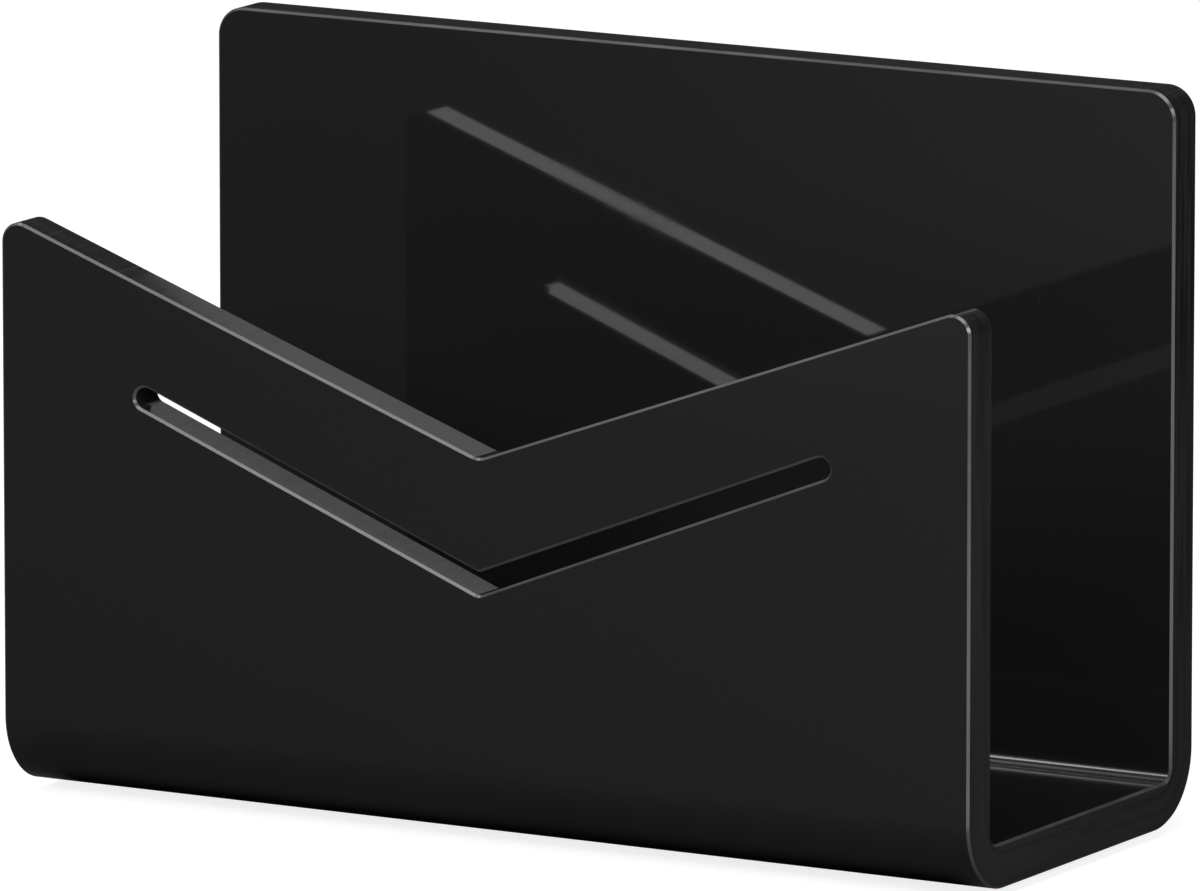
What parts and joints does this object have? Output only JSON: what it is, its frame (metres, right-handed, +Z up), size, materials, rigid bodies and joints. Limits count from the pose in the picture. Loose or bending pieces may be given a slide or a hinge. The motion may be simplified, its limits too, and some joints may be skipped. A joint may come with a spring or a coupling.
{
  "type": "letter holder",
  "caption": "Desk holder for letters and mail, bent from one thick gloss black sheet: a tall back wall, a lower front wall with a V-shaped rim and a matching narrow slot, and open ends.",
  "frame": {"origin": "centre of the footprint, on the surface that the feet stand on", "axes": "+X along the walls towards the right end seen from the front, +Y from the low front wall to the tall back wall, +Z up"},
  "size_m": [0.18, 0.076, 0.122],
  "materials": {
    "black_acrylic": "polished gloss, with finely bevelled edges",
    "clear_foot": "soft, clear and slightly hazy",
    "adhesive": "clear, matte where it is pressed on"
  },
  "bodies": {
    "root": {"holder_body": "black_acrylic", "foot_front_left": "clear_foot", "foot_front_right": "clear_foot", "foot_back_left": "clear_foot", "foot_back_right": "clear_foot", "adhesive_front_left": "adhesive", "adhesive_front_right": "adhesive", "adhesive_back_left": "adhesive", "adhesive_back_right": "adhesive"}
  },
  "joints": []
}
